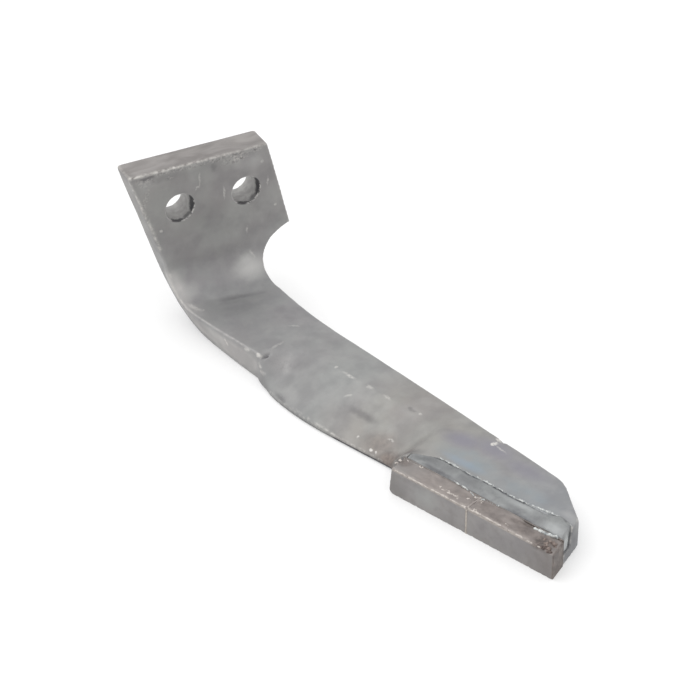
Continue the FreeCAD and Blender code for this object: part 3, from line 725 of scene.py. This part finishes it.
# Both tiles have small chips along their front edges. The outer one is also chipped behind and crumbled at
# its oblique end, and the inner one has lost a front corner.
for node, start, end in TILES:
    tile = worked_copy(node, node + "_block", voxel=0.42)
    work(tile, "SMOOTH", {"factor": 0.5, "iterations": 1})
    chips = []
    parts = 14
    for part in range(parts):
        along = start + (end - start) * (part + rng.random()) / parts
        for inward, height in ((0, 0), (0.6, 15.8)):
            chips.append(([on_row(along, inward, height)], rng.uniform(0.8, 1.5), rng.uniform(0.0, 0.4)))
    if node == "carbide_tile_outer":
        chips.append(([on_row(81, 10.5, TILE_TOP), on_row(87, 10.8, TILE_TOP)], 2.4, 1.0))
        for _ in range(14):
            spot = on_row(rng.uniform(97, 107), rng.uniform(0.5, 9.5), rng.uniform(14.5, TILE_TOP))
            chips.append(([spot], rng.uniform(0.8, 1.8), rng.uniform(0.3, 1.0)))
    else:
        chips.append(([on_row(0, 0, TILE_TOP), on_row(0, 3, TILE_TOP)], 3.0, 0.6))
        chips.append(([on_row(0, 4, TILE_TOP), on_row(0, 11, TILE_TOP)], 2.0, 0.5))
    strokes(tile, "chips", chips)
    work(tile, "DISPLACE", {"strength": -0.8 * MM, "mid_level": 0.0, "vertex_group": "chips"})
    free_group(tile)
    work(tile, "DISPLACE", {"texture": cloud("sinter_waves", size=9), "strength": 0.25 * MM, "mid_level": 0.5,
                            "vertex_group": "free"})
    work(tile, "DISPLACE", {"texture": cloud("sinter_pits", size=2), "strength": 0.10 * MM, "mid_level": 0.5,
                            "vertex_group": "free"})
    mark_edges(tile, reach=14)
    round_shading(tile)
    tile.data.materials.append(carbide)


# Brass braze flowed behind and between the tiles and set there. Along their front top edge it left a
# pale, uneven line, with thicker drops at the seam and a few on top of the tiles.
SEAM = 51.7

# Brass as brazed: dulled by heat and flux, so that it reads as a pale grey-brown metal, hardly yellow.
brass, tree, surface = new_material("dull_brass_braze")
row = row_coordinates(tree)
axes = add(tree, "ShaderNodeSeparateXYZ", {}, {0: row})
spots = {size: add(tree, "ShaderNodeTexNoise", {}, {
    "Vector": row, "Scale": 1 / size, "Detail": detail}).outputs[0]
         for size, detail in ((3, 4.0), (2.5, 4.0), (2, 3.0), (1.2, 4.0))}
on_top = coats(tree, "#97908b", [("#aca59f", 1.0, (spots[2.5], 0.38, 0.60))])
colour = coats(tree, "#a29a92", [
    ("#bdb5ac", 1.0, (spots[3], 0.38, 0.62)),
    (on_top, 1.0, (axes.outputs["Z"], 14.2, 14.8)),
])
colour = flux_stain(tree, row, colour, height=15.6)
colour = coats(tree, colour, [("#5e5653", 1.0, (axes.outputs["X"], 103.0, 105.0))])
tree.links.new(colour, surface.inputs["Base Color"])
surface.inputs["Metallic"].default_value = 0.35
roughness = add(tree, "ShaderNodeMapRange", {}, {
    "Value": spots[2], "From Min": 0.3, "From Max": 0.7, "To Min": 0.42, "To Max": 0.62})
tree.links.new(roughness.outputs[0], surface.inputs["Roughness"])
bump = add(tree, "ShaderNodeBump", {}, {"Height": spots[1.2], "Strength": 0.8, "Distance": 0.10 * MM})
tree.links.new(bump.outputs[0], surface.inputs["Normal"])
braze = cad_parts["braze"]
braze.data.materials.clear()
braze.data.materials.append(brass)


def drops(name, places, voxel, noise, strength):
    """One lumpy object run together from drops: (middle in millimetres, radius in millimetres)."""
    bpy.ops.object.select_all(action="DESELECT")
    made = []
    for middle, radius in places:
        bpy.ops.mesh.primitive_uv_sphere_add(
            segments=10, ring_count=6, radius=radius * MM, location=[MM * v for v in middle])
        made.append(bpy.context.object)
    for drop in made:
        drop.select_set(True)
    bpy.context.view_layer.objects.active = made[0]
    bpy.ops.object.join()
    piece = bpy.context.object
    piece.name = name
    bpy.ops.object.transform_apply(location=True, rotation=True, scale=True)
    work(piece, "REMESH", {"mode": "VOXEL", "voxel_size": voxel * MM})
    work(piece, "DISPLACE", {"texture": cloud(name, size=noise, depth=3), "strength": strength * MM,
                             "mid_level": 0.55})
    work(piece, "SMOOTH", {"factor": 0.5, "iterations": 2})
    mark_edges(piece, reach=6)
    round_shading(piece)
    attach(piece, "root")
    return piece


def along_path(path, spacing):
    """Places along a path of (along, inward, height), this far apart in millimetres."""
    places = []
    for (a, i, h), (a2, i2, h2) in zip(path[:-1], path[1:]):
        count = max(1, round(math.dist((a, i), (a2, i2)) / spacing))
        for step in range(count):
            share = step / count
            places.append((a + (a2 - a) * share, i + (i2 - i) * share, h + (h2 - h) * share))
    return places


# Here and below, a, i and h are how far along the tiles, inward and up a bead lies, and r is its radius.
beads = []
for a, i, h in along_path([(4, 0.45, 15.65), (51, 0.5, 15.75), (62, 0.8, 15.9), (99, 0.6, 15.5)],
                          spacing=0.55):
    swell = 0.12 * math.sin(a * 0.9) + 0.10 * math.sin(a * 0.37 + 1)
    beads.append((on_row(a, i + rng.uniform(-0.1, 0.1), h), 0.44 + swell * 0.8 + rng.uniform(-0.06, 0.06)))
for a, i, r in ((52.4, 0.8, 0.8), (54.6, 1.5, 0.9), (57.4, 1.6, 0.8), (60.4, 1.5, 0.6), (31.0, 4.2, 0.7),
                (33.2, 3.4, 0.6), (35.6, 4.6, 0.6), (38.0, 3.6, 0.8), (41.0, 4.0, 0.7), (43.4, 3.0, 0.5),
                (12.2, 10.6, 0.7), (4.5, 9.8, 0.5), (48.0, 6.2, 0.6), (75.0, 3.2, 0.5),
                (1.5, 5.0, 0.6), (1.2, 8.0, 0.7), (50.5, 9.6, 0.8), (53.5, 8.8, 0.7)):
    for _ in range(6):
        beads.append((on_row(a + rng.uniform(-1.3, 1.3), i + rng.uniform(-0.7, 0.7), 16.3 if i > 2 else 16.0),
                      r * rng.uniform(0.4, 0.85)))
# The seam between the tiles, inward along its top and then up its front.
for step in range(24):
    beads.append((on_row(SEAM + rng.uniform(-0.3, 0.3), 1.2 + step * 0.42, 15.95), rng.uniform(0.60, 0.80)))
for step in range(30):
    beads.append((on_row(SEAM + rng.uniform(-0.08, 0.08), 0.16, 0.8 + step * 0.5), rng.uniform(0.26, 0.38)))
line = drops("braze_line", beads, voxel=0.2, noise=1.8, strength=0.3)

# Brass braze that flux kept clean while it set: paler than the rest, and pinkish beside the grey tiles.
pale, tree, surface = new_material("pale_brass_braze")
row = row_coordinates(tree)
spots = {size: add(tree, "ShaderNodeTexNoise", {}, {
    "Vector": row, "Scale": 1 / size, "Detail": 4.0}).outputs[0]
         for size in (7, 2)}
stained = coats(tree, "#8b8380", [("#9c9490", 1.0, (spots[7], 0.36, 0.62))])
colour = coats(tree, "#aea7a1", [
    ("#cdc6c0", 1.0, (spots[2], 0.36, 0.60)),
    (stained, 1.0, patches(tree, row, [((SEAM, 6.0, 16.2), (0, 0, 0), (2.5, 5.0, 3.0), 0.9, 0.25)])),
])
tree.links.new(colour, surface.inputs["Base Color"])
surface.inputs["Metallic"].default_value = 0.3
surface.inputs["Roughness"].default_value = 0.5
line.data.materials.append(pale)


# One bead of weld fills the groove behind the tiles and swells at the tip, where the welder stopped.
# It is smooth grey steel, with ragged pale lumps along each side and burnt spatter at the tip.
bead = worked_copy("weld_bead", "weld_bead_steel", voxel=0.5)
work(bead, "SMOOTH", {"factor": 0.5, "iterations": 2})
free_group(bead)
work(bead, "DISPLACE", {"texture": cloud("weld_flow", size=7), "strength": 0.9 * MM, "mid_level": 0.6,
                        "vertex_group": "free"})
work(bead, "DISPLACE", {"texture": cloud("weld_skin", size=1.8), "strength": 0.15 * MM, "mid_level": 0.6,
                        "vertex_group": "free"})
mark_edges(bead, reach=10)
round_shading(bead)

# The bead's far side, along which its lumps froze, with a dark line of painted shade just inside them.
toe = [(13.6, 21.9, 16.9), (18.2, 22.4, 16.9), (28.2, 22.4, 16.9), (36.7, 21.8, 17.0), (41.9, 22.4, 16.9),
       (49.6, 22.6, 16.8), (57.3, 22.0, 17.0), (65.2, 21.6, 17.0), (71.9, 22.4, 17.0), (78.6, 23.4, 16.9),
       (85.8, 24.2, 17.0), (93.3, 24.6, 17.1), (98.5, 23.4, 17.2), (100.6, 22.1, 17.0)]
strokes(bead, "toe", [([on_row(a, i - 1.0, h + 0.3) for a, i, h in toe], 1.5, 1.3)])

# Weld steel as laid, tinted by its own heat: smoother than the scale, so that it reads as a soft blue-grey
# sheen, darker in its hollows. Painted shade lies along the tiles' back edge, at the bead's start, in the
# slot at its end and just inside the lumps on its far side.
welded, tree, surface = new_material("weld_steel_with_heat_tint")
row = row_coordinates(tree)
shaken = ragged(tree, row, size=2.0, amount=0.7)
spots = {size: add(tree, "ShaderNodeTexNoise", {}, {
    "Vector": row, "Scale": 1 / size, "Detail": detail, "Distortion": distortion}).outputs[0]
         for size, detail, distortion in (
             (9, 4.0, 0.6), (3.5, 4.0, 1.0), (4, 3.0, 0.0), (3, 4.0, 0.0), (1.2, 4.0, 0.0))}
paint = {name: add(tree, "ShaderNodeAttribute", {"attribute_name": name}, {}).outputs["Fac"]
         for name in ("edge", "toe_paint")}
colour = coats(tree, "#7e7f80", [
    ("#8e9090", 1.0, (spots[9], 0.38, 0.62)),
    ("#6d6f74", 0.35, (spots[3.5], 0.52, 0.70)),
    ("#c3c6c6", 1.0, patches(tree, shaken, [
        ((97.0, 16.0, 17.0), (0, 0, 0), (11, 7, 4), 0.50, 0.9),
        ((101.3, 17.5, 10.0), (0, 0, 0), (4, 5.5, 9), 0.85, 0.7),
        ((72.0, 18.5, 17.0), (0, 0, 0), (22, 4, 3), 0.45, 0.9),
    ])),
    # Painted shade along the tiles' back edge, at the bead's start and in the slot at its end.
    ("#4d4d51", 1.0, patches(tree, shaken, [
        ((22.0, 13.0, 17.0), (0, 0, 0), (16, 1.6, 2.5), 0.60, 0.8),
        ((76.0, 12.0, 17.0), (0, 0, 0), (14, 2.4, 2.5), 0.60, 0.8),
        ((10.0, 16.0, 17.0), (0, 0, 20), (9, 3, 3), 0.35, 0.9),
        ((101.3, 21.5, 9.0), (0, 0, 0), (4, 1.5, 12), 0.20, 0.6),
    ])),
    # Painted shade just inside the lumps along the far side.
    ("#4a4b50", 0.8, paint["toe_paint"], (spots[3], 0.36, 0.56)),
    ("#cdcfce", 0.5, (paint["edge"], 0.12, 0.45)),
    ("#4c4e53", 0.6, (paint["edge"], -0.03, -0.25)),
])
tree.links.new(colour, surface.inputs["Base Color"])
surface.inputs["Metallic"].default_value = 0.4
roughness = add(tree, "ShaderNodeMapRange", {}, {
    "Value": spots[4], "From Min": 0.3, "From Max": 0.7, "To Min": 0.40, "To Max": 0.55})
tree.links.new(roughness.outputs[0], surface.inputs["Roughness"])
bump = add(tree, "ShaderNodeBump", {}, {"Height": spots[1.2], "Strength": 0.8, "Distance": 0.10 * MM})
tree.links.new(bump.outputs[0], surface.inputs["Normal"])
bead.data.materials.append(welded)

# The lumps that froze along the bead: on its far side, here and there on its near side, and close together
# beside its swollen end.
beads = []
for a, i, h in along_path(toe, spacing=0.6):
    if a > 15 and rng.random() < 0.92:
        swell = 0.16 * math.sin(a * 0.31) + 0.10 * math.sin(a * 0.83)
        beads.append((on_row(a, i + rng.uniform(-0.25, 0.35), h), 0.52 + swell + rng.uniform(-0.16, 0.22)))
for a, i, h in along_path([(33, 12.6, 16.5), (42, 12.0, 16.4), (50, 9.6, 16.3), (55, 11.0, 16.4),
                           (64, 11.8, 16.4)], spacing=1.1):
    if rng.random() < 0.8:
        beads.append((on_row(a, i + rng.uniform(-0.3, 0.3), h), rng.uniform(0.3, 0.75)))
for a, i, h in along_path([(88, 10.0, 16.3), (94.5, 10.0, 16.5), (98, 10.9, 16.6), (101.5, 11.6, 16.4)],
                          spacing=0.7):
    beads.append((on_row(a, i + rng.uniform(-0.4, 0.5), h), rng.uniform(0.6, 1.15)))
lumps = drops("weld_toe_lumps", beads, voxel=0.25, noise=1.6, strength=0.5)

# Frozen weld steel without scale: small bright beads with dark gaps between them.
lump_steel, tree, surface = new_material("bare_weld_lumps")
specks = add(tree, "ShaderNodeTexNoise", {}, {
    "Vector": row_coordinates(tree), "Scale": 1 / 1.6, "Detail": 3.0})
edge = add(tree, "ShaderNodeAttribute", {"attribute_name": "edge"}, {}).outputs["Fac"]
colour = coats(tree, "#8d9193", [
    ("#cfd1cf", 1.0, (specks.outputs[0], 0.38, 0.60)),
    ("#505257", 0.8, (edge, 0.0, -0.12)),
])
tree.links.new(colour, surface.inputs["Base Color"])
surface.inputs["Metallic"].default_value = 0.4
surface.inputs["Roughness"].default_value = 0.42
lumps.data.materials.append(lump_steel)

# Spatter on top of the outer tile's end, and a few drops down its oblique face.
beads = []
for _ in range(34):
    a, i = rng.uniform(96.5, 106.5), rng.uniform(0.2, 8.5)
    h = 16.1 if a < 101 else 16.1 - (a - 101) * 0.12
    beads.append((on_row(a - 0.26 * i * (a > 102), i, h - rng.uniform(0.0, 0.5)), rng.uniform(0.45, 1.25)))
for _ in range(8):
    beads.append((on_row(rng.uniform(105.0, 106.6), rng.uniform(0.6, 2.2), rng.uniform(10.5, 15.0)),
                  rng.uniform(0.3, 0.6)))
spatter = drops("burnt_spatter", beads, voxel=0.25, noise=2.2, strength=0.9)

# Spatter burnt onto the tile: brown oxide, black in its gaps, with bare specks on the tops of its lumps.
burnt, tree, surface = new_material("burnt_weld_spatter")
row = row_coordinates(tree)
spots = {size: add(tree, "ShaderNodeTexNoise", {}, {
    "Vector": row, "Scale": 1 / size, "Detail": detail}).outputs[0]
         for size, detail in ((2.4, 3.0), (1.2, 4.0))}
edge = add(tree, "ShaderNodeAttribute", {"attribute_name": "edge"}, {}).outputs["Fac"]
colour = coats(tree, "#564a46", [
    ("#8b7d76", 1.0, (spots[2.4], 0.40, 0.58)),
    ("#d2c8c0", 1.0, (edge, 0.04, 0.16), (spots[1.2], 0.40, 0.55)),
    ("#37302e", 0.9, (edge, 0.0, -0.10)),
])
tree.links.new(colour, surface.inputs["Base Color"])
surface.inputs["Metallic"].default_value = 0.3
surface.inputs["Roughness"].default_value = 0.5
spatter.data.materials.append(burnt)
